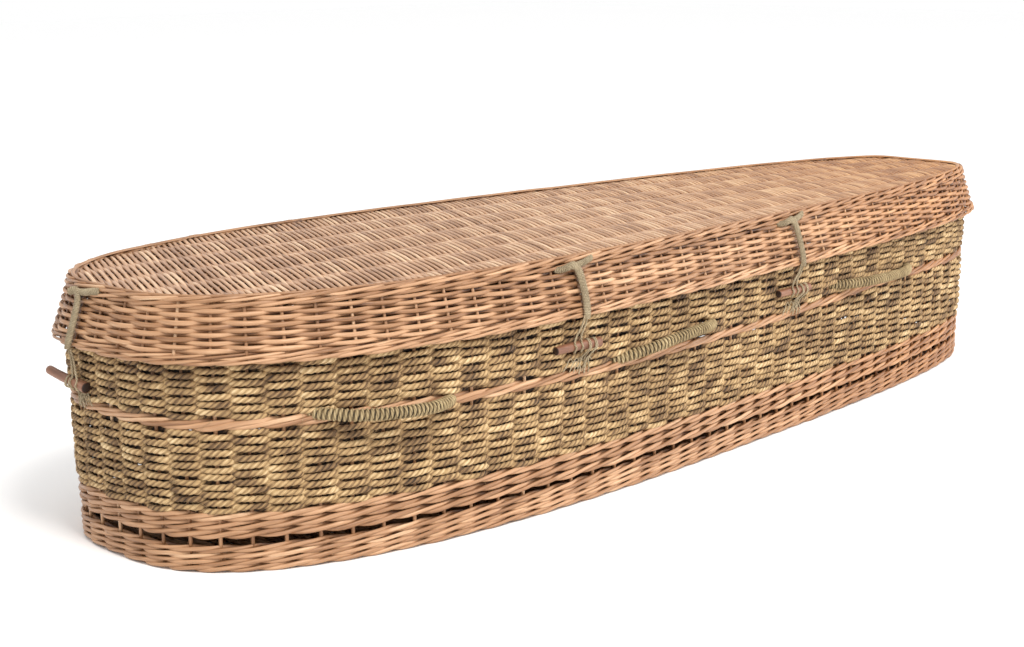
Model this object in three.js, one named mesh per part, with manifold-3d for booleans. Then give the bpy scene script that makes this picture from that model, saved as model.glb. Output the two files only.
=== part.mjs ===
// A wicker coffin: a tapered, round-ended basket of willow and seagrass with an overlapping lid,
// rope-wrapped handles, and cords with wooden toggles that hold the lid down.
// Millimetres, +Z up. The head end is at -X, and the origin is under the middle of the length and width.

import * as THREE from 'three';
import { mergeVertices } from 'three/addons/utils/BufferGeometryUtils.js';
import Module from 'manifold-3d';

const wasm = await Module();
wasm.setup();

// Plan of the lid's lower edge, the widest line of the coffin.
const LENGTH = 1980;
const MEAN_WIDTH = 554;
const TAPER = 0.3;          // share by which the head end is wider, and the foot end narrower, than the mean
const BELLY = 0.076;        // share by which the middle of the length is fuller than a straight taper
const HEAD_POWER = 2.73;    // superellipse powers: 2 is an ellipse, higher is squarer
const FOOT_POWER = 4.4;
const SEGMENTS = 52;

// Heights of the bands, from the ground.
const FOOT_HEIGHT = 82;
const WALE_HEIGHT = 195;
const WALE_DEPTH = 16;
const LID_EDGE = 287;
const LID_OVERLAP = 16;
const LID_HEIGHT = 373;
const LID_BORDER_DEPTH = 13;
const LID_RIM_DEPTH = 15;
const FLOOR_THICKNESS = 14;
const LID_PANEL_THICKNESS = 11;
const LID_PANEL_DROP = 2;

// Insets of the outer faces from the plan, and true wall thicknesses.
const GROUND_INSET = 29;
const BASE_EDGE_INSET = 21;
const LID_TOP_INSET = 27;
const SEAGRASS_WALL = 13;
const FOOT_WALL = 17;
const WALE_WALL = 16;
const BASE_RIM_WALL = 14;
const LID_WALL = 13;
const LID_RIM_WALL = 17;
const BULGE = 2.5;          // how far each woven band swells between its edges
const PROUD = 3;            // how far a wale stands out from the weave beside it
const SLOT_HEIGHT = 39;     // the open row in the foot, where the stakes show
const SLOT_WIDTH = 8;
const SLOT_DEPTH = 5;

// Fittings.
const GAP = 0.3;            // left between pieces that touch
const HANDLE_DIAMETER = 18;
const HANDLE_BOW = 34;      // from the wall to the middle of the bar
// Each handle's middle and length along the coffin, the heights of its two ends, and how far it arches above them.
const HANDLES = [
  { x: -706, span: 200, left: 210, right: 201, arch: 0 },
  { x: -149, span: 228, left: 206, right: 222, arch: 14 },
  { x: 475, span: 264, left: 228, right: 222, arch: 3 },
];
const TOGGLE_DIAMETER = 14;
const TOGGLE_LENGTH = 92;
const TOGGLE_HEIGHT = 243;
const SIDE_TOGGLES = [-372, 188];
const END_TOGGLE_OFFSET = 50;
// The toggles at the ends hang askew: to one side, one end low on the wall, the other end up and out.
const END_TOGGLE_SHIFT = -31;
const END_TOGGLE_DROP = 12;
const END_TOGGLE_RISE = 0.13;
const END_TOGGLE_SWING = 0.09;
const CORD_DIAMETER = 10;
const CORD_CLEARANCE = 1.2;
const STRING_DIAMETER = 4;
const STRING_CLEARANCE = 1;
const STRING_FACET = 8.4;   // greatest height of one facet of a toggle string

// Materials.
const willow = new THREE.MeshStandardMaterial({ color: 0xc08a5c, roughness: 0.55, metalness: 0 });
const seagrass = new THREE.MeshStandardMaterial({ color: 0xa9905a, roughness: 0.9, metalness: 0 });
const jute = new THREE.MeshStandardMaterial({ color: 0xb3a88c, roughness: 0.95, metalness: 0 });
const stick = new THREE.MeshStandardMaterial({ color: 0x8a5a3c, roughness: 0.6, metalness: 0 });

const coffin = new THREE.Group();

function addPiece(name, geometry, material) {
  const mesh = new THREE.Mesh(geometry, material);
  mesh.name = name;
  coffin.add(mesh);
}

// The plan: a superellipse whose width tapers from head to foot.
function planPoint(angle) {
  const c = Math.cos(angle);
  const s = Math.sin(angle);
  const power = c < 0 ? HEAD_POWER : FOOT_POWER;
  const along = Math.sign(c) * Math.abs(c) ** (2 / power);
  const half = (MEAN_WIDTH / 2) * (1 - TAPER * along + BELLY * (1 - along * along));
  const across = Math.sign(s) * Math.abs(s) ** (2 / power);
  return new THREE.Vector2((LENGTH / 2) * along, half * across);
}

// The point, the outward normal and the tangent of the plan at an angle.
function planFrame(angle) {
  const step = 1e-3;
  const point = planPoint(angle);
  const tangent = planPoint(angle + step).sub(planPoint(angle - step)).normalize();
  return { point, tangent, normal: new THREE.Vector2(tangent.y, -tangent.x) };
}

// Angles that cut the plan into stretches of equal length.
function evenAngles(count) {
  const fine = 4000;
  const lengths = [0];
  let last = planPoint(0);
  for (let i = 1; i <= fine; i += 1) {
    const next = planPoint((2 * Math.PI * i) / fine);
    lengths.push(lengths[i - 1] + next.distanceTo(last));
    last = next;
  }
  const angles = [];
  let at = 0;
  for (let k = 0; k < count; k += 1) {
    const target = (lengths[fine] * k) / count;
    while (lengths[at + 1] < target) at += 1;
    const share = (target - lengths[at]) / (lengths[at + 1] - lengths[at]);
    angles.push((2 * Math.PI * (at + share)) / fine);
  }
  return angles;
}

const frames = evenAngles(SEGMENTS).map(planFrame);

function pointOn(frame, inset, z, along = 0) {
  return new THREE.Vector3(
    frame.point.x - frame.normal.x * inset + frame.tangent.x * along,
    frame.point.y - frame.normal.y * inset + frame.tangent.y * along,
    z,
  );
}

// A ring round the plan. The section is a list of [inset, z], down the outer face and up the inner face.
function ringGeometry(section) {
  const positions = [];
  const index = [];
  const rows = section.length;
  frames.forEach((frame, i) => {
    section.forEach(([inset, z], j) => {
      positions.push(...pointOn(frame, inset, z).toArray());
      const next = ((i + 1) % SEGMENTS) * rows;
      const here = i * rows;
      const up = (j + 1) % rows;
      index.push(here + j, here + up, next + j, next + j, here + up, next + up);
    });
  });
  const geometry = new THREE.BufferGeometry();
  geometry.setAttribute('position', new THREE.Float32BufferAttribute(positions, 3));
  geometry.setIndex(index);
  geometry.computeVertexNormals();
  return geometry;
}

// A flat panel that fills the plan at one inset.
function panelGeometry(inset, low, thickness) {
  const corners = frames.map((frame) => {
    const corner = pointOn(frame, inset, 0);
    return new THREE.Vector2(corner.x, corner.y);
  });
  const geometry = new THREE.ExtrudeGeometry(new THREE.Shape(corners), { depth: thickness, bevelEnabled: false });
  geometry.translate(0, 0, low);
  return geometry;
}

// Outer faces of the base wall and of the lid, as insets at a height.
function baseInset(z) {
  return GROUND_INSET + ((BASE_EDGE_INSET - GROUND_INSET) * z) / LID_EDGE;
}

function lidInset(z) {
  return (LID_TOP_INSET * (z - LID_EDGE)) / (LID_HEIGHT - LID_EDGE);
}

// A woven band between two heights whose outer face swells in the middle.
function bandSection(insetAt, low, high, wall, swell) {
  const bottom = low + GAP / 2;
  const top = high - GAP / 2;
  const lift = (top - bottom) / 3;
  const swollen = [top - lift, bottom + lift].map((z) => [insetAt(z) - swell, z]);
  return [
    [insetAt(top), top],
    ...(swell > 0 ? swollen : []),
    [insetAt(bottom), bottom],
    [insetAt(bottom) + wall, bottom],
    [insetAt(top) + wall, top],
  ];
}

// A wale: a thick cord-like row that stands proud, with its edges eased.
function waleSection(insetAt, low, high, wall) {
  const bottom = low + GAP / 2;
  const top = high - GAP / 2;
  const ease = (top - bottom) / 4;
  return [
    [insetAt(top), top],
    [insetAt(top) - PROUD, top - ease],
    [insetAt(bottom) - PROUD, bottom + ease],
    [insetAt(bottom), bottom],
    [insetAt(bottom) + wall, bottom],
    [insetAt(top) + wall, top],
  ];
}

// The willow foot: a rounded border, the open row, and the wale rows above it.
function footSection() {
  const top = FOOT_HEIGHT - GAP / 2;
  const slotTop = SLOT_HEIGHT + SLOT_WIDTH;
  return [
    [baseInset(top), top],
    [baseInset(slotTop) - BULGE, slotTop],
    [baseInset(slotTop) + SLOT_DEPTH, slotTop - BULGE],
    [baseInset(SLOT_HEIGHT) + SLOT_DEPTH, SLOT_HEIGHT + BULGE],
    [baseInset(SLOT_HEIGHT) - BULGE, SLOT_HEIGHT],
    [baseInset(0) - BULGE, BULGE * 2],
    [baseInset(0) + BULGE, 0],
    [baseInset(0) + FOOT_WALL, 0],
    [baseInset(top) + FOOT_WALL, top],
  ];
}

const waleTop = WALE_HEIGHT + WALE_DEPTH;
const baseTop = LID_EDGE + LID_OVERLAP;
const borderTop = LID_EDGE + LID_BORDER_DEPTH;
const rimBottom = LID_HEIGHT - LID_RIM_DEPTH;

const lowerWallSection = () => bandSection(baseInset, FOOT_HEIGHT, WALE_HEIGHT, SEAGRASS_WALL, BULGE);
const middleWaleSection = () => waleSection(baseInset, WALE_HEIGHT, waleTop, WALE_WALL);
const upperWallSection = () => bandSection(baseInset, waleTop, LID_EDGE, SEAGRASS_WALL, BULGE);

function addBase() {
  addPiece('woven_floor', panelGeometry(GROUND_INSET + FOOT_WALL + GAP, 0, FLOOR_THICKNESS), willow);
  addPiece('willow_foot', ringGeometry(footSection()), willow);
  addPiece('seagrass_wall_lower', ringGeometry(lowerWallSection()), seagrass);
  addPiece('willow_middle_wale', ringGeometry(middleWaleSection()), willow);
  addPiece('seagrass_wall_upper', ringGeometry(upperWallSection()), seagrass);
  // The rim leans in with the lid, and stays clear of its inner face.
  const rimInset = (z) => Math.max(baseInset(z), lidInset(z) + LID_WALL + 2 * GAP);
  addPiece('willow_base_rim', ringGeometry(bandSection(rimInset, LID_EDGE, baseTop, BASE_RIM_WALL, 0)), willow);
}

function addLid() {
  addPiece('lid_border', ringGeometry(waleSection(lidInset, LID_EDGE, borderTop, LID_WALL)), willow);
  addPiece('lid_side', ringGeometry(bandSection(lidInset, borderTop, rimBottom, LID_WALL, BULGE)), willow);
  addPiece('lid_rim', ringGeometry(waleSection(lidInset, rimBottom, LID_HEIGHT, LID_RIM_WALL)), willow);
  const panelTop = LID_HEIGHT - LID_PANEL_DROP;
  addPiece(
    'lid_woven_top',
    panelGeometry(LID_TOP_INSET + LID_RIM_WALL + GAP, panelTop - LID_PANEL_THICKNESS, LID_PANEL_THICKNESS),
    willow,
  );
}

// Manifold solids, for the cuts where a handle goes into the wall.
function toSolid(geometry) {
  const bare = geometry.clone();
  bare.deleteAttribute('normal');
  bare.deleteAttribute('uv');
  const merged = mergeVertices(bare);
  return new wasm.Manifold(new wasm.Mesh({
    numProp: 3,
    vertProperties: new Float32Array(merged.attributes.position.array),
    triVerts: new Uint32Array(merged.index.array),
  }));
}

function toGeometry(solid) {
  const mesh = solid.getMesh();
  const geometry = new THREE.BufferGeometry();
  geometry.setAttribute('position', new THREE.BufferAttribute(mesh.vertProperties, 3));
  geometry.setIndex(new THREE.BufferAttribute(mesh.triVerts, 1));
  geometry.computeVertexNormals();
  return geometry;
}

// A round tube along points that are joined by a smooth curve.
function tubeGeometry(points, diameter, sides, steps) {
  const section = new THREE.Shape();
  for (let i = 0; i < sides; i += 1) {
    const turn = (2 * Math.PI * i) / sides;
    const x = (diameter / 2) * Math.cos(turn);
    const y = (diameter / 2) * Math.sin(turn);
    if (i === 0) section.moveTo(x, y);
    else section.lineTo(x, y);
  }
  return new THREE.ExtrudeGeometry(section, { steps, extrudePath: new THREE.CatmullRomCurve3(points) });
}

// What a handle's ends go into: the outer faces of the wall, moved out by the gap, and a depth behind them.
function wallRing() {
  const sections = [upperWallSection(), middleWaleSection(), lowerWallSection()];
  const faces = sections.flatMap((section) => section.slice(0, -2));
  const outer = faces.map(([inset, z]) => [inset - GAP, z]);
  const depth = 3 * HANDLE_DIAMETER;
  const [topInset, top] = outer[0];
  const [bottomInset, bottom] = outer[outer.length - 1];
  return ringGeometry([...outer, [bottomInset + depth, bottom], [topInset + depth, top]]);
}

// The angle of the plan at a place along the near side, the side at -Y.
function sideAngle(x) {
  const along = x / (LENGTH / 2);
  const power = along < 0 ? HEAD_POWER : FOOT_POWER;
  return -Math.acos(Math.sign(along) * Math.abs(along) ** (power / 2));
}

// The angle of the plan at a distance from the middle line, on the head end at +Y.
function headAngle(y) {
  let low = Math.PI / 2;
  let high = Math.PI;
  for (let i = 0; i < 40; i += 1) {
    const middle = (low + high) / 2;
    if (planPoint(middle).y > y) low = middle;
    else high = middle;
  }
  return (low + high) / 2;
}

// Copies of what is made at the near side or the head end, on the far side or the foot end.
function acrossFrame(frame) {
  const flip = (v) => new THREE.Vector2(v.x, -v.y);
  return { point: flip(frame.point), normal: flip(frame.normal), tangent: flip(frame.tangent) };
}

function footFrame(y) {
  let low = -Math.PI / 2;
  let high = Math.PI / 2;
  for (let i = 0; i < 40; i += 1) {
    const middle = (low + high) / 2;
    if (planPoint(middle).y < y) low = middle;
    else high = middle;
  }
  return planFrame((low + high) / 2);
}

// The bar bows out from the wall between its ends, and follows the wall's curve.
function handlePoints({ x, span, left, right, arch }) {
  const shares = [-1.16, -1, -0.82, -0.5, 0, 0.5, 0.82, 1, 1.16];
  return shares.map((share) => {
    const z = left + ((right - left) * (share + 1)) / 2 + arch * (1 - share * share);
    const out = HANDLE_BOW * (1 - Math.abs(share) ** 2.6);
    return pointOn(planFrame(sideAngle(x + (share * span) / 2)), baseInset(z) - out, z);
  });
}

function addHandles() {
  const wall = toSolid(wallRing());
  HANDLES.forEach((handle, i) => {
    const near = handlePoints(handle);
    const far = near.map((point) => new THREE.Vector3(point.x, -point.y, point.z));
    [['near', near], ['far', far]].forEach(([side, points]) => {
      const bar = toSolid(tubeGeometry(points, HANDLE_DIAMETER, 8, 14));
      addPiece(`handle_${side}_${i + 1}`, toGeometry(bar.subtract(wall)), seagrass);
    });
  });
}

// The toggle lies along the wall, its side against the weave.
function toggleInset() {
  return baseInset(TOGGLE_HEIGHT) - BULGE - TOGGLE_DIAMETER / 2;
}

// A point of a toggle's middle line as [inset, z, along].
function togglePlace(along, askew) {
  if (!askew) return [toggleInset(), TOGGLE_HEIGHT, along];
  const reach = TOGGLE_LENGTH / 2 - along;
  return [
    toggleInset() - reach * END_TOGGLE_SWING,
    TOGGLE_HEIGHT - END_TOGGLE_DROP + reach * END_TOGGLE_RISE,
    along + END_TOGGLE_SHIFT,
  ];
}

function togglePoints(frame, askew) {
  const half = TOGGLE_LENGTH / 2;
  return [-half, 0, half].map((along) => pointOn(frame, ...togglePlace(along, askew)));
}

// The lashing is caught in the lid's rim, runs down the outside of the lid and ends on the toggle.
function lashingPoints(frame, askew) {
  const off = CORD_DIAMETER / 2 + CORD_CLEARANCE;
  const [inset, height] = togglePlace(askew ? -END_TOGGLE_SHIFT : 0, askew);
  const onToggle = inset - TOGGLE_DIAMETER / 2 - off;
  const rim = LID_HEIGHT - LID_RIM_DEPTH / 2;
  const places = [
    [lidInset(rim) - PROUD - off, rim, -38],
    [lidInset(rim) - PROUD - off, rim + 1, -20],
    [lidInset(rim) - PROUD - off, rim, -6],
    [lidInset(rimBottom) - PROUD - off, rimBottom, 0],
    [lidInset(330) - PROUD - off, 330, 3],
    [lidInset(borderTop) - PROUD - off, borderTop, 2],
    [-PROUD - off, LID_EDGE + 4, 0],
    [-PROUD - off + 1, LID_EDGE - 8, 0],
    [onToggle, height + 14, 0],
    [onToggle, height - 4, 0],
  ];
  return places.map((place) => pointOn(frame, ...place));
}

// The string is a loop from the middle wale, over the toggle's end and back.
function stringPoints(frame, askew) {
  const off = STRING_DIAMETER / 2 + STRING_CLEARANCE;
  const side = askew ? -0.72 : 1;
  const [inset, height] = togglePlace(askew ? -END_TOGGLE_SHIFT + 23 * side : 0, askew);
  const top = height + TOGGLE_DIAMETER / 2;
  const outside = inset - TOGGLE_DIAMETER / 2 - off;
  const places = [
    [baseInset(waleTop) - PROUD - off, waleTop - WALE_DEPTH / 2, 15],
    [outside, height - 12, 17],
    [outside, height, 19],
    [outside + 2, top, 21],
    [inset, top + off, 23],
    [outside + 2, top, 25],
    [outside, height, 27],
    [outside, height - 12, 29],
    [baseInset(waleTop) - PROUD - off, waleTop - WALE_DEPTH / 2, 32],
  ];
  return places.map(([set, z, along]) => pointOn(frame, set, z, along * side));
}

function addFastening(name, frame, askew) {
  addPiece(`toggle_${name}`, tubeGeometry(togglePoints(frame, askew), TOGGLE_DIAMETER, 10, 2), stick);
  addPiece(`lashing_${name}`, tubeGeometry(lashingPoints(frame, askew), CORD_DIAMETER, 8, 14), jute);
  const rise = TOGGLE_HEIGHT - waleTop + TOGGLE_DIAMETER + STRING_DIAMETER;
  const facets = 2 * Math.ceil(rise / STRING_FACET);
  addPiece(`toggle_string_${name}`, tubeGeometry(stringPoints(frame, askew), STRING_DIAMETER, 6, facets), jute);
}

function addFastenings() {
  SIDE_TOGGLES.forEach((x, i) => {
    const near = planFrame(sideAngle(x));
    addFastening(`near_${i + 1}`, near, false);
    addFastening(`far_${i + 1}`, acrossFrame(near), false);
  });
  addFastening('head', planFrame(headAngle(END_TOGGLE_OFFSET)), true);
  addFastening('foot', footFrame(END_TOGGLE_OFFSET), true);
}

addBase();
addLid();
addHandles();
addFastenings();

export default coffin;
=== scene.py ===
"""The looks of the wicker coffin: every rope, rod, stake and cord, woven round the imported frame. Metres."""

import math

import bpy
import numpy as np
from mathutils import Matrix, Vector


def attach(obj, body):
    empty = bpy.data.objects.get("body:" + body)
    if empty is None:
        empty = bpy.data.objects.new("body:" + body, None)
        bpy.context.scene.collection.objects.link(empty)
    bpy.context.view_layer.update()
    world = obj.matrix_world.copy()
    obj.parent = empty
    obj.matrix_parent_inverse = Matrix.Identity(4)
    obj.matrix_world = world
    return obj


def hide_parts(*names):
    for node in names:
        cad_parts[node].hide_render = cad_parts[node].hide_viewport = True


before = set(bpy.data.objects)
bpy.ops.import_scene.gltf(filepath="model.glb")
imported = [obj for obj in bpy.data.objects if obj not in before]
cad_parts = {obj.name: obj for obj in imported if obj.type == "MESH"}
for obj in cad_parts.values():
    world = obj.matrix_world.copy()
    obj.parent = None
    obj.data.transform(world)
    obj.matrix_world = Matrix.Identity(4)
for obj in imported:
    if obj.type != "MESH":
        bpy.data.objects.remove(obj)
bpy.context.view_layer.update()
rng = np.random.default_rng(11)

# Plan of the lid's lower edge, as in the CAD.
LENGTH = 1.98
MEAN_WIDTH = 0.554
TAPER = 0.3
BELLY = 0.076
HEAD_POWER = 2.73
FOOT_POWER = 4.4

# Heights of the bands.
FOOT_HEIGHT = 0.082
SLOT_LOW = 0.039
SLOT_HIGH = 0.047
WALE_HEIGHT = 0.195
WALE_TOP = 0.211
LID_EDGE = 0.287
LID_HEIGHT = 0.373

# Insets of the outer faces from the plan.
GROUND_INSET = 0.029
BASE_EDGE_INSET = 0.021
LID_TOP_INSET = 0.027

# Fittings.
HANDLE_DIAMETER = 0.018
HANDLE_BOW = 0.034
# Each handle's middle and length along the coffin, the heights of its ends, and its arch above them.
HANDLES = [(-0.706, 0.200, 0.210, 0.201, 0.0), (-0.149, 0.228, 0.206, 0.222, 0.014), (0.475, 0.264, 0.228, 0.222, 0.003)]
TOGGLE_DIAMETER = 0.014
TOGGLE_LENGTH = 0.092
TOGGLE_HEIGHT = 0.243
SIDE_TOGGLES = [-0.372, 0.188]
END_TOGGLE_OFFSET = 0.050
# The toggles at the ends hang askew: to one side, one end low on the wall, the other end up and out.
END_TOGGLE_SHIFT = -0.031
END_TOGGLE_DROP = 0.012
END_TOGGLE_RISE = 0.13
END_TOGGLE_SWING = 0.09

# The weave.
STAKES = 92
STAKE_RADIUS = 0.003
ROPE_PITCH = 0.0056
ROPE_DEEP = 0.0042
ROPE_SWING = 0.0046
PLIES = 3
PLY_SPACING = 0.0092
ROD_PITCH = 0.005
ROD_DEEP = 0.0027
ROD_TALL = 0.0035
LID_ROD_PITCH = 0.0052
LID_ROD_SLANT = 0.45  # how far a rod of the lid's top runs along the coffin for each step across it
LID_STICKS = 7
# How much darker a rod or a rope is painted where it passes behind a stake: painted shade for the inside of the weave.
BEHIND_PAINTED_SHADE = 0.5
ROPE_BEHIND_PAINTED_SHADE = 1.5


def plan_xy(angle):
    c, s = np.cos(angle), np.sin(angle)
    power = np.where(c < 0, HEAD_POWER, FOOT_POWER)
    along = np.sign(c) * np.abs(c) ** (2 / power)
    half = MEAN_WIDTH / 2 * (1 - TAPER * along + BELLY * (1 - along**2))
    return np.stack([LENGTH / 2 * along, half * np.sign(s) * np.abs(s) ** (2 / power)], -1)


def sample_plan():
    """The plan at equal steps of its length: lengths, points and outward normals, from the foot end anticlockwise."""
    t = np.linspace(0, 1, 2001)[:-1]
    eased = t**4 / (t**4 + (1 - t) ** 4)
    angles = np.concatenate([(quarter + eased) * math.pi / 2 for quarter in range(4)] + [[2 * math.pi]])
    points = plan_xy(angles)
    lengths = np.concatenate([[0], np.cumsum(np.linalg.norm(np.diff(points, axis=0), axis=1))])
    s = np.linspace(0, lengths[-1], 9201)
    xy = np.stack([np.interp(s, lengths, points[:, k]) for k in range(2)], -1)
    tangent = np.roll(xy[:-1], -6, axis=0) - np.roll(xy[:-1], 6, axis=0)
    tangent = np.concatenate([tangent, tangent[:1]])
    tangent /= np.linalg.norm(tangent, axis=1)[:, None]
    return s, xy, np.stack([tangent[:, 1], -tangent[:, 0]], -1)


PLAN_S, PLAN_XY, PLAN_N = sample_plan()
PERIMETER = PLAN_S[-1]
STAKE_PITCH = PERIMETER / STAKES


def plan_at(s, table):
    return np.stack([np.interp(np.mod(s, PERIMETER), PLAN_S, table[:, k]) for k in range(2)], -1)


def place(s, inset, z):
    """Points at lengths s round the plan, set in from it, at heights z, and the outward directions there."""
    s, inset, z = np.broadcast_arrays(*(np.asarray(v, float) for v in (s, inset, z)))
    normal = plan_at(s, PLAN_N)
    xy = plan_at(s, PLAN_XY) - normal * inset[:, None]
    return np.column_stack([xy, z]), np.column_stack([normal, np.zeros(len(s))])


def base_inset(z):
    return GROUND_INSET + (BASE_EDGE_INSET - GROUND_INSET) * np.asarray(z) / LID_EDGE


def lid_inset(z):
    return LID_TOP_INSET * (np.asarray(z) - LID_EDGE) / (LID_HEIGHT - LID_EDGE)


def side_length(x):
    """The length round the plan at which the near side, at -Y, has this x."""
    near = PLAN_XY[:, 1] < -0.12
    order = np.argsort(PLAN_XY[near, 0])
    return float(np.interp(x, PLAN_XY[near, 0][order], PLAN_S[near][order]))


def end_length(x_sign, y):
    """The length round the plan at which the head end (-1) or the foot end (+1) has this y."""
    there = (PLAN_XY[:, 0] * x_sign > LENGTH / 2 - 0.06) & (PLAN_S < PERIMETER)
    s = np.where(PLAN_S[there] > PERIMETER * 0.75, PLAN_S[there] - PERIMETER, PLAN_S[there])
    order = np.argsort(PLAN_XY[there, 1])
    return float(np.interp(y, PLAN_XY[there, 1][order], s[order]))


def wander(s, amplitude, waves, seed):
    """A smooth wandering line that closes on itself round the plan."""
    local = np.random.default_rng(seed)
    total = np.zeros_like(s)
    for k in waves:
        total += local.normal() * np.sin(2 * math.pi * (k * s / PERIMETER + local.random()))
    return amplitude * total / math.sqrt(len(waves) / 2)


# How far the hand-woven middle wale lies above or below its level line, along the length.
WALE_X = [-1.0, -0.7, -0.3, 0.1, 0.5, 0.9, 1.0]
WALE_DZ = [0.0, 0.0, -0.006, -0.004, 0.008, 0.004, 0.002]


def hand_line(s, z):
    """The rise or fall of a row at height z, most at the middle wale and none at the foot and the lid."""
    x = plan_at(s, PLAN_XY)[:, 0] / (LENGTH / 2)
    share = np.interp(z, [FOOT_HEIGHT, WALE_HEIGHT, WALE_TOP, LID_EDGE], [0, 1, 1, 0])
    return np.interp(x, WALE_X, WALE_DZ) * share


class Batch:
    """Faces and their attributes, gathered from many rods into one mesh."""

    def __init__(self):
        self.points, self.quads, self.tris, self.flow, self.tint = [], [], [], [], []
        self.count = 0

    def add(self, points, quads, tris, flow, tint):
        self.points.append(points)
        self.quads.append(np.asarray(quads, int).reshape(-1, 4) + self.count)
        self.tris.append(np.asarray(tris, int).reshape(-1, 3) + self.count)
        self.flow.append(flow)
        self.tint.append(tint)
        self.count += len(points)


def ring_angles(columns, back=180):
    """Angles of a rod's section from the back round the front to the back again, closer on the outside."""
    inner = np.linspace(-72, 72, columns - 1) if columns < 7 else np.linspace(-110, 110, columns - 1)
    return np.radians(np.concatenate([[-back], inner, [back]]))


THIN = np.radians([-180, -60, 60, 180])
SLIM = ring_angles(5)
OVAL = ring_angles(6)
ROUND = ring_angles(7)
FULL = np.radians(np.linspace(-180, 180, 11))


def across(path, out, closed):
    """Unit tangents of the path, and the out and up directions square to them."""
    if closed:
        tangent = np.roll(path, -1, axis=0) - np.roll(path, 1, axis=0)
    else:
        tangent = np.gradient(path, axis=0)
    tangent /= np.linalg.norm(tangent, axis=1)[:, None]
    up = np.cross(out, tangent)
    up /= np.linalg.norm(up, axis=1)[:, None]
    return tangent, np.cross(tangent, up), up


def tube(batch, path, out, deep, tall, angles, tint, closed=False, twist=None, start=0.0, rod=None):
    """A rod along the path. deep and tall are its half sizes along out and across it."""
    count, columns = len(path), len(angles)
    _, out, up = across(path, out, closed)
    ends = np.roll(path, -1, axis=0) if closed else path[1:]
    steps = np.linalg.norm(ends - path[: len(ends)], axis=1)
    along = start + np.concatenate([[0], np.cumsum(steps)])[:count]
    swell = np.ones((count, columns))
    if twist:
        turn = PLIES / 2 * angles[None, :] - math.pi * along[:, None] / twist
        swell = 0.78 + 0.22 * np.abs(np.cos(turn))
    deep = np.broadcast_to(deep, count)[:, None] * swell * np.cos(angles)
    tall = np.broadcast_to(tall, count)[:, None] * swell * np.sin(angles)
    points = path[:, None, :] + out[:, None, :] * deep[..., None] + up[:, None, :] * tall[..., None]
    i = np.arange(count if closed else count - 1)
    j = np.arange(columns - 1)
    a = i[:, None] * columns + j
    b = ((i + 1) % count)[:, None] * columns + j
    quads = np.stack([a, b, b + 1, a + 1], -1)
    rod = rng.random() if rod is None else rod
    flow = np.stack(
        [
            np.broadcast_to(along[:, None], (count, columns)),
            np.broadcast_to(angles / (2 * math.pi), (count, columns)),
            np.full((count, columns), rod),
        ],
        -1,
    ).reshape(-1, 3)
    tint = np.repeat(np.broadcast_to(tint, count), columns)
    tris = []
    points = points.reshape(-1, 3)
    if not closed:
        middle = len(points)
        last = (count - 1) * columns
        tris = [[middle, k, k + 1] for k in range(columns - 1)]
        tris += [[middle + 1, last + k + 1, last + k] for k in range(columns - 1)]
        points = np.concatenate([points, path[[0, -1]]])
        flow = np.concatenate([flow, [[along[0], 0, rod], [along[-1], 0, rod]]])
        tint = np.concatenate([tint, tint[[0, -1]]])
    batch.add(points, quads, tris, flow, tint)


def make_piece(name, batch, material, nodes=()):
    points = np.concatenate(batch.points)
    quads, tris = np.concatenate(batch.quads), np.concatenate(batch.tris)
    mesh = bpy.data.meshes.new(name)
    mesh.vertices.add(len(points))
    mesh.vertices.foreach_set("co", points.astype(np.float32).ravel())
    corners = np.concatenate([quads.ravel(), tris.ravel()])
    mesh.loops.add(len(corners))
    mesh.loops.foreach_set("vertex_index", corners.astype(np.int32))
    sizes = np.concatenate([np.full(len(quads), 4), np.full(len(tris), 3)])
    mesh.polygons.add(len(sizes))
    starts = np.concatenate([[0], np.cumsum(sizes)[:-1]])
    mesh.polygons.foreach_set("loop_start", starts.astype(np.int32))
    mesh.update(calc_edges=True)
    mesh.polygons.foreach_set("use_smooth", np.ones(len(sizes), bool))
    flow = mesh.attributes.new("flow", "FLOAT_VECTOR", "POINT")
    flow.data.foreach_set("vector", np.concatenate(batch.flow).astype(np.float32).ravel())
    tint = mesh.attributes.new("tint", "FLOAT", "POINT")
    tint.data.foreach_set("value", np.concatenate(batch.tint).astype(np.float32))
    mesh.materials.append(material)
    piece = bpy.data.objects.new(name, mesh)
    bpy.context.scene.collection.objects.link(piece)
    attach(piece, "root")
    if nodes:
        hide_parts(*nodes)
    print(f"{name}: {2 * len(quads) + len(tris)} triangles")
    return piece


# Materials.


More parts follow.
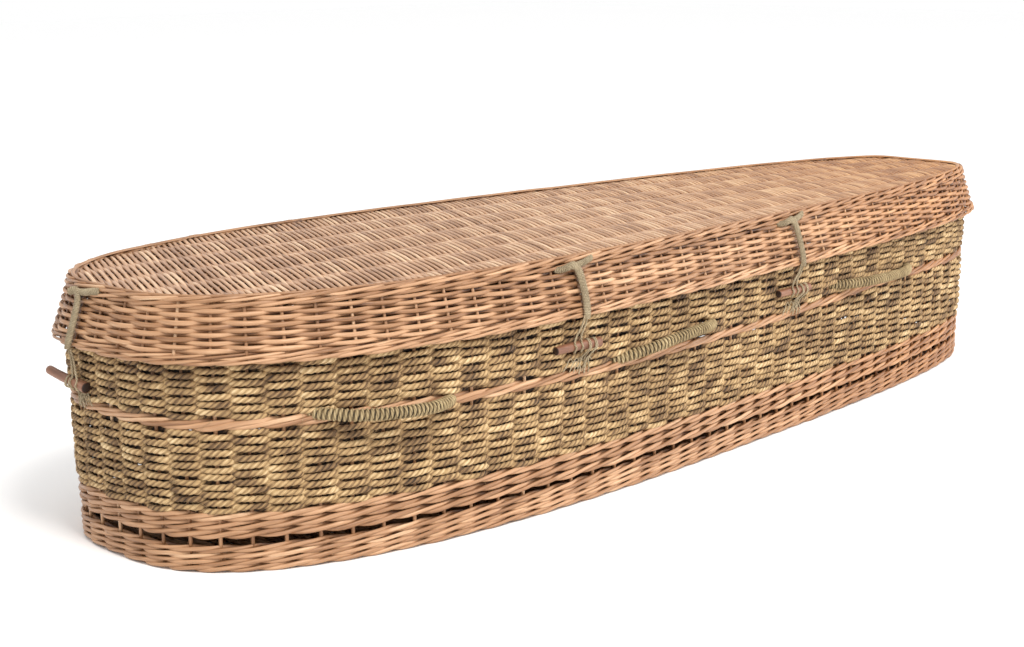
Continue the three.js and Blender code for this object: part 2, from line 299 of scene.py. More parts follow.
class Nodes:
    """A material's node tree, built in short calls."""

    def __init__(self, name):
        self.material = bpy.data.materials.new(name)
        self.material.use_nodes = True
        self.tree = self.material.node_tree
        self.shader = next(n for n in self.tree.nodes if n.type == "BSDF_PRINCIPLED")

    def node(self, kind, **values):
        made = self.tree.nodes.new(kind)
        for key, value in values.items():
            setattr(made, key, value)
        return made

    def link(self, source, target):
        self.tree.links.new(source, target)

    def math(self, operation, a, b=0.0):
        made = self.node("ShaderNodeMath", operation=operation)
        for socket, value in zip(made.inputs, (a, b)):
            if isinstance(value, (int, float)):
                socket.default_value = value
            else:
                self.link(value, socket)
        return made.outputs[0]

    def attribute(self, name, output):
        return self.node("ShaderNodeAttribute", attribute_name=name).outputs[output]

    def scaled(self, vector, scale):
        made = self.node("ShaderNodeVectorMath", operation="MULTIPLY")
        self.link(vector, made.inputs[0])
        made.inputs[1].default_value = scale
        return made.outputs[0]

    def noise(self, vector, scale=1.0, detail=3.0, roughness=0.55):
        made = self.node("ShaderNodeTexNoise")
        made.inputs["Scale"].default_value = scale
        made.inputs["Detail"].default_value = detail
        made.inputs["Roughness"].default_value = roughness
        self.link(vector, made.inputs["Vector"])
        return made.outputs["Fac"]

    def ramp(self, value, stops):
        made = self.node("ShaderNodeValToRGB")
        elements = made.color_ramp.elements
        while len(elements) < len(stops):
            elements.new(0.5)
        for element, (place_at, colour) in zip(elements, stops):
            element.position = place_at
            element.color = (*colour, 1)
        self.link(value, made.inputs[0])
        return made.outputs[0]

    def spread(self, value, low, high, to_low=0.0, to_high=1.0):
        made = self.node("ShaderNodeMapRange", clamp=True)
        for key, number in zip(("From Min", "From Max", "To Min", "To Max"), (low, high, to_low, to_high)):
            made.inputs[key].default_value = number
        self.link(value, made.inputs["Value"])
        return made.outputs[0]

    def bump(self, height, distance, strength=1.0):
        made = self.node("ShaderNodeBump")
        made.inputs["Strength"].default_value = strength
        made.inputs["Distance"].default_value = distance
        self.link(height, made.inputs["Height"])
        self.link(made.outputs[0], self.shader.inputs["Normal"])


def willow_material(name, stops, rough=(0.30, 0.55)):
    """Peeled or steamed willow: streaks along the rod, a tone of its own for each rod, and a satin skin."""
    made = Nodes(name)
    flow = made.attribute("flow", "Vector")
    streak = made.noise(made.scaled(flow, (22, 7, 90)), detail=4)
    fine = made.noise(made.scaled(flow, (60, 26, 70)), detail=3)
    place_at = made.node("ShaderNodeNewGeometry").outputs["Position"]
    mottle = made.noise(place_at, scale=9, detail=4)
    tone = made.math("MULTIPLY", made.attribute("tint", "Fac"), 0.56)
    tone = made.math("ADD", tone, made.math("MULTIPLY", streak, 0.62))
    tone = made.math("ADD", tone, made.math("MULTIPLY", mottle, 0.42))
    tone = made.math("SUBTRACT", tone, 0.33)
    # The rods turn browner and darker towards the foot end.
    along = made.node("ShaderNodeSeparateXYZ")
    made.link(place_at, along.inputs[0])
    foot_end_tone = made.ramp(made.spread(along.outputs[0], 0.0, 0.9), [(0.0, (1, 0.98, 0.95)), (1.0, (0.90, 0.73, 0.50))])
    colour = made.node("ShaderNodeVectorMath", operation="MULTIPLY")
    made.link(made.ramp(tone, stops), colour.inputs[0])
    made.link(foot_end_tone, colour.inputs[1])
    made.link(colour.outputs[0], made.shader.inputs["Base Color"])
    made.link(made.spread(fine, 0.3, 0.7, *rough), made.shader.inputs["Roughness"])
    made.bump(made.math("ADD", fine, streak), 0.0005)
    return made.material


def rope_material(name, stops, turns=1.0, rough=0.85):
    """Twisted plant fibre: fine strands along each ply, and painted shade in the groove between the plies."""
    made = Nodes(name)
    flow = made.node("ShaderNodeSeparateXYZ")
    made.link(made.attribute("flow", "Vector"), flow.inputs[0])
    ply = made.math("DIVIDE", flow.outputs[0], -PLY_SPACING * turns)
    ply = made.math("ADD", ply, made.math("MULTIPLY", flow.outputs[1], PLIES))
    strands = made.node("ShaderNodeCombineXYZ")
    made.link(made.math("MULTIPLY", ply, 7.0), strands.inputs[0])
    made.link(made.math("MULTIPLY", flow.outputs[0], 60.0), strands.inputs[1])
    made.link(made.math("MULTIPLY", flow.outputs[2], 80.0), strands.inputs[2])
    fibre = made.noise(strands.outputs[0], detail=4, roughness=0.65)
    wave = made.math("ABSOLUTE", made.math("COSINE", made.math("MULTIPLY", ply, math.pi)))
    place_at = made.node("ShaderNodeNewGeometry").outputs["Position"]
    mottle = made.noise(place_at, scale=26, detail=5, roughness=0.65)
    tone = made.math("MULTIPLY", made.attribute("tint", "Fac"), 0.30)
    tone = made.math("ADD", tone, made.math("MULTIPLY", fibre, 0.75))
    tone = made.math("ADD", tone, made.math("MULTIPLY", mottle, 0.75))
    # Painted shade: the tone drops in the groove between the plies.
    tone = made.math("ADD", tone, made.math("MULTIPLY", wave, 0.30))
    tone = made.math("SUBTRACT", tone, 0.62)
    made.link(made.ramp(tone, stops), made.shader.inputs["Base Color"])
    made.shader.inputs["Roughness"].default_value = rough
    made.bump(made.math("ADD", fibre, made.math("MULTIPLY", wave, 0.8)), 0.0009)
    return made.material


WILLOW = willow_material(
    "buff_willow",
    [(0.0, (0.07, 0.025, 0.010)), (0.3, (0.30, 0.150, 0.070)), (0.6, (0.52, 0.30, 0.165)), (1.0, (0.90, 0.68, 0.45))],
)
SEAGRASS = rope_material(
    "seagrass_rope",
    [(0.0, (0.012, 0.005, 0.003)), (0.3, (0.17, 0.095, 0.042)), (0.6, (0.47, 0.305, 0.14)), (1.0, (0.95, 0.74, 0.44))],
)
WRAP = rope_material(
    "handle_wrap",
    [(0.0, (0.03, 0.02, 0.01)), (0.35, (0.21, 0.145, 0.068)), (0.65, (0.44, 0.33, 0.17)), (1.0, (0.78, 0.64, 0.40))],
)
JUTE = rope_material(
    "jute_cord",
    [(0.0, (0.09, 0.062, 0.033)), (0.35, (0.28, 0.21, 0.125)), (0.65, (0.52, 0.42, 0.27)), (1.0, (0.80, 0.69, 0.49))],
    turns=0.5,
    rough=0.95,
)
TOGGLE = willow_material(
    "toggle_stick",
    [(0.0, (0.02, 0.008, 0.005)), (0.35, (0.13, 0.055, 0.03)), (0.6, (0.25, 0.11, 0.06)), (1.0, (0.50, 0.28, 0.17))],
)


# The weave.


STAKE_XY = plan_at(np.arange(STAKES) * STAKE_PITCH, PLAN_XY)
STAKE_SEEN = (STAKE_XY[:, 1] < 0.05) | (STAKE_XY[:, 0] < -0.85)


def row_samples(row, near, far):
    """Lengths along a row. near and far are the steps in front of and behind a stake, finer where the photo looks."""
    parts = []
    for k in range(STAKES):
        steps = (near if STAKE_SEEN[k] else far)[(k + row) % 2]
        parts.append((k - 0.5 + np.arange(steps) / steps) * STAKE_PITCH)
    return np.concatenate(parts)


def rod_tints(s, length, seed):
    """A tone for each rod of about this length, laid end to end along a row."""
    local = np.random.default_rng(seed)
    marks = [local.random() * length]
    while marks[-1] < PERIMETER:
        marks.append(marks[-1] + length * (0.7 + 0.6 * local.random()))
    tones = 0.15 + 0.65 * local.random(len(marks) + 1)
    return tones[np.searchsorted(marks, np.mod(s, PERIMETER))]


def handle_gap(s, level):
    """How far a row of rope is pushed up or down where a handle's end goes through the wall."""
    x = plan_at(s, PLAN_XY)[:, 0]
    push = np.zeros(len(s))
    for middle, span, left, right, _ in HANDLES:
        for end, height in ((middle - span / 2 - 0.012, left), (middle + span / 2 - 0.022, right + 0.012)):
            away = level - height
            push += math.copysign(0.0026, away) * math.exp(-((away / 0.011) ** 2)) * np.exp(-(((x - end) / 0.014) ** 2))
    return push


def rope_rows(batch, low, high, first, rows):
    """Seagrass rows in front of one stake and behind the next."""
    pitch = (high - low) / rows
    for row in range(rows):
        index = first + row
        s = row_samples(index, (30, 5), (10, 3))
        wave = np.tanh(1.9 * np.cos(math.pi * (s / STAKE_PITCH + index))) / math.tanh(1.9)
        level = low + (row + 0.5) * pitch
        z = level + hand_line(s, level) + wander(s, 0.0006, range(7, 60, 6), index) + handle_gap(s, level)
        bulge = 0.002 * math.sin(math.pi * (row + 0.5) / rows)
        inset = base_inset(z) + 0.0052 - bulge - ROPE_SWING * wave
        inset = inset + wander(s, 0.0004, range(11, 90, 8), index + 400)
        path, out = place(s, inset, z)
        tall = 0.0054 - 0.0005 * wave
        size = 1 + wander(s, 0.05, range(20, 120, 9), index + 800)
        # Painted shade: the rope is painted darker where it passes behind a stake.
        tint = 0.5 + wander(s, 0.34, range(9, 80, 7), index + 1200) - ROPE_BEHIND_PAINTED_SHADE * np.clip(-wave, 0, 1)
        lay = PLY_SPACING * (0.9 + 0.25 * rng.random())
        tube(batch, path, out, ROPE_DEEP * size, tall * size, SLIM, tint, closed=True, twist=lay)


def fibres(batch, low, high, count, seed):
    """Stray ends of fibre that stand off the ropes."""
    local = np.random.default_rng(seed)
    t = np.linspace(0, 1, 5)
    for _ in range(count):
        length = 0.008 + 0.02 * local.random()
        lean = local.normal(0, 0.7) + local.normal(0, 0.5) * t
        s = local.random() * PERIMETER + length * t * np.cos(lean)
        z = low + (high - low) * local.random() + length * t * np.sin(lean)
        inset = base_inset(z) - 0.002 - 0.003 * np.sin(t * 2.2)
        path, out = place(s, inset, z)
        tube(batch, path, out, 0.0002, 0.00028, THIN, 1.0)


def willow_rows(batch, low, rows, inset_of, swing, first=0):
    """Plain weave of single willow rods."""
    for row in range(rows):
        s = row_samples(first + row, (8, 5), (4, 3))
        wave = np.cos(math.pi * (s / STAKE_PITCH + first + row))
        z = low + (row + 0.5) * ROD_PITCH + wander(s, 0.0004, range(7, 60, 6), row + 3000 + first)
        path, out = place(s, inset_of(z) + 0.0045 - swing * wave, z)
        size = 1 + wander(s, 0.07, range(3, 12), row + 3300 + first)
        # Painted shade: the rod is painted darker where it passes behind a stake.
        tint = rod_tints(s, 0.7, row + 3600 + first) - BEHIND_PAINTED_SHADE * np.clip(-wave, 0, 1)
        tube(batch, path, out, ROD_DEEP * size, ROD_TALL * size, SLIM, tint, closed=True)


def wale(batch, z, inset_of, radius, rise, front=2, swing=0.0055, middle=0.0062, seed=0, close=0.0):
    """A wale of front + 1 rods: each climbs in front of some stakes, then dips behind one.

    close is how far it lies off its height along the sides, away from the head end.
    """
    period = front + 1
    rounds = STAKES // period
    s = row_samples(0, (6, 6), (3, 3))
    x = plan_at(s, PLAN_XY)[:, 0]
    shift = close * np.interp(x, [-0.95, -0.55], [0, 1])
    for rod in range(period):
        turn = 2 * math.pi * (s / PERIMETER * rounds - (rod + front / 2) / period)
        reach = np.tanh(2 * (np.cos(turn) + 0.25))
        climb = rise * np.sin(turn) * (1 + wander(s, 0.12, range(4, 50, 5), seed + rod + 20))
        height = z + shift + hand_line(s, z) + climb + wander(s, 0.0004, range(5, 40, 5), seed + rod)
        path, out = place(s, inset_of(height) + middle - swing * reach, height)
        size = 1 + wander(s, 0.08, range(3, 15), seed + rod + 50)
        # Painted shade: each wale rod is painted darker where it dips behind a stake.
        tint = rod_tints(s, 0.9, seed + rod + 90) - BEHIND_PAINTED_SHADE * np.clip(-reach, 0, 1)
        tube(batch, path, out, radius * size, radius * size, OVAL, tint, closed=True)


def stakes(batch, low, high, inset_of, radius, depth):
    for k in range(STAKES):
        z = np.linspace(low, high, 7)
        s = np.full(7, k * STAKE_PITCH) + rng.normal(0, 0.0008)
        path, out = place(s, inset_of(z) + depth, z)
        tube(batch, path, out, radius, radius, SLIM, rng.random())


def build_base():
    rows = 10
    middle = (FOOT_HEIGHT + WALE_HEIGHT) / 2
    for name, low, high, first in (("lower", FOOT_HEIGHT, middle, 0), ("middle", middle, WALE_HEIGHT, rows)):
        batch = Batch()
        rope_rows(batch, low, high, first, rows)
        fibres(batch, low, high, 150, 700 + first)
        make_piece(f"seagrass_{name}_rows", batch, SEAGRASS, ["seagrass_wall_lower"])
    batch = Batch()
    rope_rows(batch, WALE_TOP, LID_EDGE + 0.002, 21, 14)
    fibres(batch, WALE_TOP, LID_EDGE - 0.004, 200, 731)
    make_piece("seagrass_upper_rows", batch, SEAGRASS, ["seagrass_wall_upper"])
    batch = Batch()
    wale(batch, (WALE_HEIGHT + WALE_TOP) / 2, base_inset, 0.0036, 0.0044, front=3, seed=5000)
    make_piece("middle_wale_rods", batch, WILLOW, ["willow_middle_wale"])
    batch = Batch()
    for k, (z, up) in enumerate([(0.0058, 0), (0.0143, 0.0003), (0.0228, 0.0006), (0.0313, 0.0010)]):
        wale(batch, z, base_inset, 0.0030, 0.0026, seed=5100 + 7 * k, close=up)
    for k, (z, down) in enumerate([(0.0530, 0.0034), (0.0647, 0.0016), (0.0764, 0)]):
        wale(batch, z, base_inset, 0.0034, 0.0035, seed=5200 + 7 * k, close=-down)
    make_piece("foot_wales", batch, WILLOW, ["willow_foot"])
    batch = Batch()
    stakes(batch, 0.003, LID_EDGE + 0.01, base_inset, STAKE_RADIUS, 0.0064)
    make_piece("base_stakes", batch, WILLOW)


def build_lid():
    batch = Batch()
    willow_rows(batch, 0.3015, 11, lid_inset, 0.0034)
    make_piece("lid_side_rods", batch, WILLOW, ["lid_side"])
    batch = Batch()
    for k, z in enumerate([0.2908, 0.2972]):
        wale(batch, z, lid_inset, 0.0024, 0.0019, middle=0.0056, swing=0.0052, seed=5400 + 7 * k)
    make_piece("lid_border_rods", batch, WILLOW, ["lid_border"])
    batch = Batch()
    for k, z in enumerate([0.3612, 0.3684]):
        wale(batch, z, lid_inset, 0.0026, 0.0021, middle=0.0056, swing=0.0054, seed=5500 + 7 * k)
    s = row_samples(0, (3, 3), (2, 2))
    path, out = place(s, lid_inset(LID_HEIGHT) + 0.006, LID_HEIGHT - 0.0012 + wander(s, 0.0003, range(5, 40, 5), 5590))
    tube(batch, path, out, 0.0029, 0.0026, SLIM, rod_tints(s, 0.9, 5591), closed=True)
    make_piece("lid_rim_rods", batch, WILLOW, ["lid_rim"])
    batch = Batch()
    stakes(batch, LID_EDGE + 0.003, LID_HEIGHT - 0.004, lid_inset, 0.0027, 0.0055)
    make_piece("lid_stakes", batch, WILLOW)


def half_width(x, inset):
    """Half the width of the plan, set in, at each x."""
    far = PLAN_XY[:, 1] >= 0
    xy = PLAN_XY[far] - PLAN_N[far] * inset
    order = np.argsort(xy[:, 0])
    return np.interp(x, xy[order, 0], xy[order, 1], left=0, right=0)


def lane_width(x):
    along = np.clip(x / (LENGTH / 2), -1, 1)
    return MEAN_WIDTH / 2 * (1 - TAPER * along + BELLY * (1 - along**2)) - LID_TOP_INSET


def panel_weave(batch, z, inset, pitch, slant, sticks, dip, radius, steps, face):
    """Rods across the width, over and under sticks along the length. face is +1 for a top, -1 for an underside."""
    reach = LENGTH / 2 - inset
    beyond = slant * MEAN_WIDTH * 0.7
    out = np.array([[0, 0, face]], float)
    across_y = np.linspace(-MEAN_WIDTH * 0.7, MEAN_WIDTH * 0.7, 300)
    for i, start in enumerate(np.arange(-reach - beyond, reach + beyond, pitch)):
        x = start + slant * across_y
        y = across_y[np.abs(across_y) < half_width(x, inset)]
        if len(y) < 16:
            continue
        q = (y / lane_width(start + slant * y) + 1) / 2 * sticks - 0.5
        places = np.linspace(q[0], q[-1], max(int((q[-1] - q[0]) * steps), 3))
        y = np.interp(places, q, y)
        wave = np.tanh(1.6 * np.cos(math.pi * (places + i))) / math.tanh(1.6)
        sway = 0.0005 * np.sin(places * 0.9 + i * 0.05) + rng.normal(0, 0.0004)
        path = np.column_stack([start + slant * y + sway, y * face, z - face * dip * (1 - wave) / 2])
        size = 1 + 0.06 * rng.normal()
        # Painted shade: each rod is painted darker where it passes under a stick.
        tint = 0.3 + 0.7 * rng.random() - BEHIND_PAINTED_SHADE * np.clip(-wave, 0, 1)
        tube(batch, path, np.repeat(out, len(y), 0), radius * 0.85, radius * size, SLIM, tint)
    for q in (np.arange(sticks) + 0.5) / sticks * 2 - 1:
        x = np.linspace(-reach + 0.01, reach - 0.01, 90)
        y = q * lane_width(x)
        inside = np.abs(y) < half_width(x, inset) - 0.004
        x, y = x[inside], y[inside]
        path = np.column_stack([x, y, np.full(len(x), z - face * dip / 2)])
        tube(batch, path, np.repeat(out, len(x), 0), 0.0024, 0.003, SLIM, 0.2)


def build_panels():
    batch = Batch()
    panel_weave(batch, 0.3682, LID_TOP_INSET + 0.006, LID_ROD_PITCH, LID_ROD_SLANT, LID_STICKS, 0.0042, 0.0035, 4.6, 1)
    make_piece("lid_top_weave", batch, WILLOW, ["lid_woven_top"])
    batch = Batch()
    panel_weave(batch, 0.0046, GROUND_INSET + 0.009, 0.0085, 0, 9, 0.0055, 0.0044, 2.5, -1)
    make_piece("floor_weave", batch, WILLOW, ["woven_floor"])
    batch = Batch()
    for z in (0.291, 0.2975):
        s = np.linspace(0, PERIMETER, STAKES * 2 + 1)[:-1]
        inset = np.maximum(base_inset(z), lid_inset(z) + 0.0145) + 0.0035
        path, out = place(s, inset, z)
        tube(batch, path, out, 0.0033, 0.0033, SLIM, 0.5, closed=True)
    make_piece("base_rim_rods", batch, WILLOW, ["willow_base_rim"])


# Fittings.


def smooth_path(points, count):
    """A smooth curve through the points, at equal steps."""
    points = np.asarray(points, float)
    ghost = np.concatenate([[2 * points[0] - points[1]], points, [2 * points[-1] - points[-2]]])
    fine = []
    for k in range(len(points) - 1):
        p0, p1, p2, p3 = ghost[k : k + 4]
        t = np.linspace(0, 1, 24, endpoint=False)[:, None]
        fine.append(
            0.5 * (2 * p1 + (p2 - p0) * t + (2 * p0 - 5 * p1 + 4 * p2 - p3) * t**2 + (3 * p1 - p0 - 3 * p2 + p3) * t**3)
        )
    fine = np.concatenate(fine + [points[-1:]])
    lengths = np.concatenate([[0], np.cumsum(np.linalg.norm(np.diff(fine, axis=0), axis=1))])
    at = np.linspace(0, lengths[-1], count)
    return np.stack([np.interp(at, lengths, fine[:, k]) for k in range(3)], -1)


class Spot:
    """A place on the plan where a fitting sits, mirrored for the far side."""

    def __init__(self, s, mirror=False):
        self.point = plan_at(np.array([s]), PLAN_XY)[0]
        self.normal = plan_at(np.array([s]), PLAN_N)[0]
        self.tangent = np.array([-self.normal[1], self.normal[0]])
        if mirror:
            for v in (self.point, self.normal, self.tangent):
                v[1] = -v[1]

    def at(self, inset, z, along=0.0):
        xy = self.point - self.normal * inset + self.tangent * along
        return np.array([xy[0], xy[1], z])

    def out(self, count):
        return np.repeat([[*self.normal, 0.0]], count, 0)


def helix(batch, path, out, radius, cord, turns, angles, tint, steps=12):
    """A cord wound round a path."""
    count = int(turns * steps)
    fine = smooth_path(path, count)
    outs = np.stack([np.interp(np.linspace(0, 1, count), np.linspace(0, 1, len(out)), out[:, k]) for k in range(3)], -1)
    _, o, up = across(fine, outs, False)
    turn = np.linspace(0, 2 * math.pi * turns, count)[:, None]
    ring = o * np.cos(turn) + up * np.sin(turn)
    tube(batch, fine + ring * radius, ring, cord * 0.8, cord, angles, tint)


def handle_path(x, span, left, right, arch, mirror):
    """The bar's middle line and the outward directions along it."""
    share = np.array([-1.16, -1, -0.82, -0.5, 0, 0.5, 0.82, 1, 1.16])
    z = left + (right - left) * (share + 1) / 2 + arch * (1 - share**2)
    reach = HANDLE_BOW * (1 - np.abs(share) ** 2.6)
    s = [side_length(x + part * span / 2) for part in share]
    path, out = place(s, base_inset(z) - reach, z)
    if mirror:
        path[:, 1] *= -1
        out[:, 1] *= -1
    return path, out


def build_handles():
    for k, handle in enumerate(HANDLES):
        for side, mirror in (("near", False), ("far", True)):
            path, out = handle_path(*handle, mirror)
            batch = Batch()
            core = smooth_path(path, 40)
            outs = np.stack([np.interp(np.linspace(0, 8, 40), np.arange(9), out[:, j]) for j in range(3)], -1)
            # The bar under the wrap is painted near black: painted shade showing in the gaps between the turns of cord.
            tube(batch, core, outs, 0.0070, 0.0070, FULL, -0.8)
            turns = handle[1] * 1.12 / 0.0056
            helix(batch, path, out, 0.0071, 0.0025, turns, SLIM, 0.6, steps=11)
            make_piece(f"wrapped_handle_{side}_{k + 1}", batch, WRAP, [f"handle_{side}_{k + 1}"])


def toggle_place(along, askew):
    """A point of a toggle's middle line, as its inset, height and place along the wall."""
    inset = float(base_inset(TOGGLE_HEIGHT)) - 0.0025 - TOGGLE_DIAMETER / 2
    if not askew:
        return inset, TOGGLE_HEIGHT, along
    reach = TOGGLE_LENGTH / 2 - along
    return (
        inset - reach * END_TOGGLE_SWING,
        TOGGLE_HEIGHT - END_TOGGLE_DROP + reach * END_TOGGLE_RISE,
        along + END_TOGGLE_SHIFT,
    )


def build_toggle(name, spot, seed, askew):
    """A thin stick, thicker at one end, with its cut ends painted dark: painted shade for the hollow of each cut end.
    """
    local = np.random.default_rng(seed)
    half = TOGGLE_LENGTH / 2
    along = np.concatenate([[-half, -half + 0.0006], np.linspace(-half + 0.002, half - 0.002, 22), [half - 0.0006, half]])
    count = len(along)
    path = np.array([spot.at(*toggle_place(a, askew)) for a in along])
    path[:, 2] += 0.0007 * np.sin(along / TOGGLE_LENGTH * 5 + local.random() * 6)
    radius = TOGGLE_DIAMETER / 2 * (1 + 0.12 * along / half) * (1 + 0.02 * local.normal(size=count))
    radius[[0, -1]] *= 0.84
    tint = np.full(count, 0.4 + 0.3 * local.random())
    # Painted shade: the end rings and caps are painted dark.
    tint[[0, -1]] = -0.6
    batch = Batch()
    tube(batch, path, spot.out(count), radius, radius, np.radians(np.linspace(-180, 180, 17)), tint)
    make_piece(f"toggle_stick_{name}", batch, TOGGLE, [f"toggle_{name}"])


def wrapped_band(batch, path, out, deep, wide, cord, pitch):
    """A flat bundle bound with thin cord from end to end."""
    count = len(path)
    length = float(np.linalg.norm(np.diff(path, axis=0), axis=1).sum())
    tube(batch, path, out, deep, wide, ROUND, 0.15)
    fine_count = int(length / pitch * 9)
    fine = smooth_path(path, fine_count)
    share = np.linspace(0, 1, fine_count)
    outs = np.stack([np.interp(share, np.linspace(0, 1, count), out[:, k]) for k in range(3)], -1)
    _, o, up = across(fine, outs, False)
    turn = np.linspace(0, 2 * math.pi * length / pitch, fine_count)[:, None]
    deeps = np.interp(share, np.linspace(0, 1, count), np.broadcast_to(deep, count))[:, None]
    wides = np.interp(share, np.linspace(0, 1, count), np.broadcast_to(wide, count))[:, None]
    ring = o * np.cos(turn) * deeps + up * np.sin(turn) * wides
    facing = o * np.cos(turn) / deeps + up * np.sin(turn) / wides
    facing /= np.linalg.norm(facing, axis=1)[:, None]
    tube(batch, fine + ring, facing, cord * 0.8, cord, SLIM, 0.55)


def build_lashing(name, spot, seed, askew):
    """A doubled cord, bound flat, from the weave of the lid's rim down to its edge, then two cords to the toggle."""
    local = np.random.default_rng(seed)
    rim = LID_HEIGHT - 0.012
    inset, height, _ = toggle_place(-END_TOGGLE_SHIFT if askew else 0.0, askew)
    skin = 0.0075
    places = [
        (lid_inset(rim) + 0.002, rim - 0.004, -0.036),
        (lid_inset(rim) - skin + 0.001, rim - 0.003, -0.026),
        (lid_inset(rim) - skin, rim, -0.014),
        (lid_inset(rim) - skin, rim, -0.003),
        (lid_inset(0.352) - skin, 0.352, 0.003),
        (lid_inset(0.338) - skin, 0.338, 0.005),
        (lid_inset(0.315) - skin, 0.315, 0.005),
        (lid_inset(0.298) - skin + 0.0005, 0.298, 0.003),
        (-skin + 0.002, LID_EDGE - 0.001, 0.001),
    ]
    batch = Batch()
    path = smooth_path([spot.at(*place_at) for place_at in places], 44)
    share = np.linspace(0, 1, 44)
    wide = np.interp(share, [0, 0.25, 0.45, 0.9, 1], [0.0042, 0.005, 0.0062, 0.0062, 0.0042])
    wrapped_band(batch, path, spot.out(44), 0.0030, wide, 0.0011, 0.0023)
    # The end of the cord comes out of the rim on the other side.
    places = [
        (lid_inset(rim) - skin + 0.001, rim - 0.001, -0.006),
        (lid_inset(rim) - skin + 0.0015, rim + 0.001, 0.014),
        (lid_inset(rim) - skin + 0.004, rim + 0.004, 0.030),
        (lid_inset(rim) + 0.002, rim + 0.005, 0.042),
    ]
    path = smooth_path([spot.at(*place_at) for place_at in places], 18)
    wrapped_band(batch, path, spot.out(18), 0.0026, 0.0044, 0.001, 0.0023)
    radius = TOGGLE_DIAMETER / 2
    for aside in (-1, 1):
        foot = -0.012 if aside < 0 else 0.002
        places = [
            (-skin + 0.003, LID_EDGE + 0.004, aside * 0.003),
            (0.001, LID_EDGE - 0.012, aside * 0.0032),
            (inset - radius + 0.001, height + radius + 0.010, foot * 0.7),
            (inset - radius * 0.8, height + radius * 0.95, foot),
            (inset - radius - 0.0014, height, foot + 0.0005),
            (inset - radius * 0.5, height - radius - 0.001, foot + 0.001),
        ]
        path = smooth_path([spot.at(*place_at) for place_at in places], 36)
        tube(batch, path, spot.out(36), 0.0017, 0.0017, ROUND, 0.45, twist=PLY_SPACING * 0.5)
    make_piece(f"cord_lashing_{name}", batch, JUTE, [f"lashing_{name}"])
    batch = Batch()
    side = -0.72 if askew else 1
    inset, height, _ = toggle_place(-END_TOGGLE_SHIFT + 0.023 * side if askew else 0.0, askew)
    low = float(base_inset(WALE_TOP)) - 0.0045
    face = float(base_inset(0.225)) - 0.0035
    for a, b in ((0.016, 0.010), (0.019, 0.021), (0.029, 0.030), (0.032, 0.022)):
        drift = local.normal(0, 0.001)
        places = [
            (low + 0.002, WALE_TOP - 0.012, b),
            (low, WALE_TOP - 0.004, b + drift),
            (face, WALE_TOP + 0.010, (a + b) / 2 - drift),
            (inset - radius - 0.0005, height - 0.006, a),
            (inset - radius - 0.0014, height, a + 0.0005),
            (inset - radius * 0.75, height + 0.0062, a + 0.001),
            (inset, height + radius + 0.0012, a + 0.0015),
            (inset + radius * 0.8, height + 0.005, a + 0.002),
        ]
        path = smooth_path([spot.at(i, z, s * side) for i, z, s in places], 34)
        tube(batch, path, spot.out(34), 0.0012, 0.0012, SLIM, 0.8)
    # The knotted ends lie in a tangle on the wall.
    for k in range(5):
        s = -0.022 + 0.009 * k + local.normal(0, 0.002)
        places = [
            (low, WALE_TOP - 0.006 + local.normal(0, 0.001), s * side),
            (face - 0.002, WALE_TOP + 0.004 + 0.003 * local.random(), (s + 0.006) * side),
            (face - 0.001, WALE_TOP + 0.012 + 0.003 * local.random(), (s + 0.014) * side),
            (face + 0.002, WALE_TOP + 0.006, (s + 0.024) * side),
        ]
        path = smooth_path([spot.at(*place_at) for place_at in places], 16)
        tube(batch, path, spot.out(16), 0.0009, 0.0009, SLIM, 0.75)
    make_piece(f"string_{name}", batch, JUTE, [f"toggle_string_{name}"])


def build_fastenings():
    spots = []
    for k, x in enumerate(SIDE_TOGGLES):
        for side, mirror in (("near", False), ("far", True)):
            spots.append((f"{side}_{k + 1}", Spot(side_length(x), mirror), False))
    spots.append(("head", Spot(end_length(-1, END_TOGGLE_OFFSET)), True))
    spots.append(("foot", Spot(end_length(1, END_TOGGLE_OFFSET)), True))
    for k, (name, spot, askew) in enumerate(spots):
        build_toggle(name, spot, 60 + k, askew)
        build_lashing(name, spot, 80 + k, askew)


# Stage, light and camera.


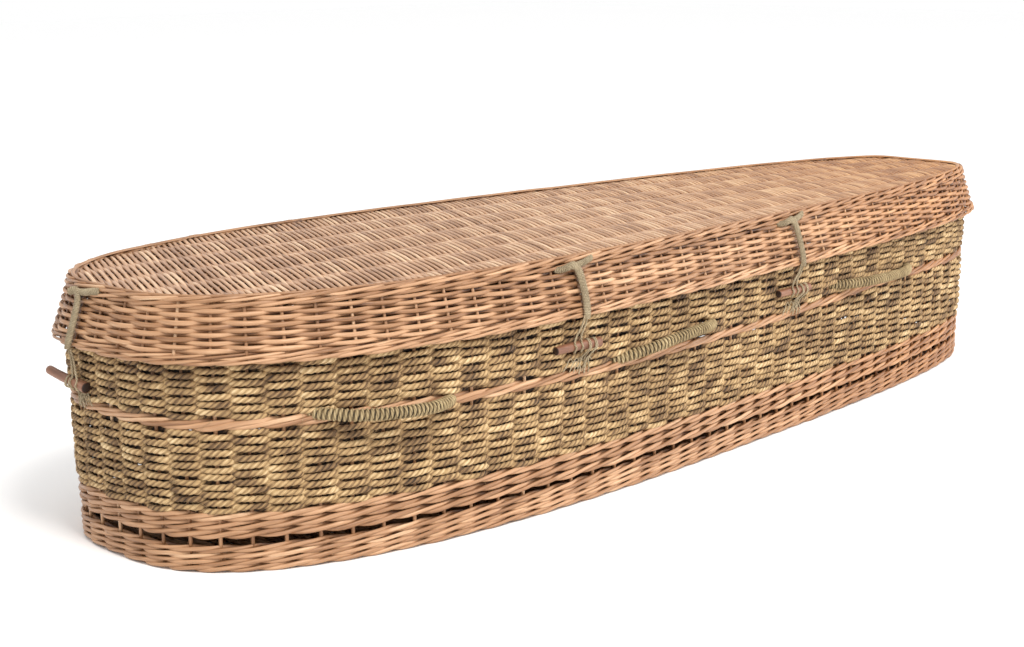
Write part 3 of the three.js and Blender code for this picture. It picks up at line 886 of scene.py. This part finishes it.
def build_stage():
    bpy.ops.mesh.primitive_plane_add(size=30, location=(0, 0, -0.0005))
    floor = bpy.context.object
    floor.name = "floor"
    made = Nodes("floor_paper")
    made.shader.inputs["Base Color"].default_value = (0.99, 0.99, 0.99, 1)
    made.shader.inputs["Roughness"].default_value = 0.9
    floor.data.materials.append(made.material)
    world = bpy.data.worlds.new("studio")
    world.use_nodes = True
    world.node_tree.nodes["Background"].inputs[0].default_value = (1, 1, 1, 1)
    world.node_tree.nodes["Background"].inputs[1].default_value = 1.0
    bpy.context.scene.world = world
    lamps = [
        ("key", (-1.2, -3.2, 4.2), 1.6, 190, (1.0, 0.975, 0.94)),
        ("fill", (3.2, -2.6, 1.6), 2.2, 60, (1.0, 0.98, 0.96)),
    ]
    for name, at, size, power, colour in lamps:
        lamp = bpy.data.lights.new(name, "AREA")
        lamp.size = size
        lamp.energy = power
        lamp.color = colour
        holder = bpy.data.objects.new(name, lamp)
        holder.location = at
        holder.rotation_euler = (-Vector(at)).to_track_quat("-Z", "Y").to_euler()
        bpy.context.scene.collection.objects.link(holder)
    bpy.context.scene.view_settings.view_transform = "Standard"


def build_camera():
    azimuth, elevation, roll = -0.78, 0.2014, -0.0092
    distance = 3.2751
    target = Vector((-0.0779, 0.1264, 0.1723))
    back = Vector(
        (
            math.sin(azimuth) * math.cos(elevation),
            -math.cos(azimuth) * math.cos(elevation),
            math.sin(elevation),
        )
    )
    right = (-back).cross(Vector((0, 0, 1))).normalized()
    up = right.cross(-back)
    right, up = (
        right * math.cos(roll) + up * math.sin(roll),
        up * math.cos(roll) - right * math.sin(roll),
    )
    lens = bpy.data.cameras.new("camera")
    lens.sensor_fit = "HORIZONTAL"
    lens.sensor_width = 36
    lens.lens = 67.3
    camera = bpy.data.objects.new("camera", lens)
    camera.matrix_world = Matrix((right, up, back)).transposed().to_4x4()
    camera.location = target + back * distance
    bpy.context.scene.collection.objects.link(camera)
    bpy.context.scene.camera = camera


build_base()
build_lid()
build_panels()
build_handles()
build_fastenings()
build_stage()
build_camera()
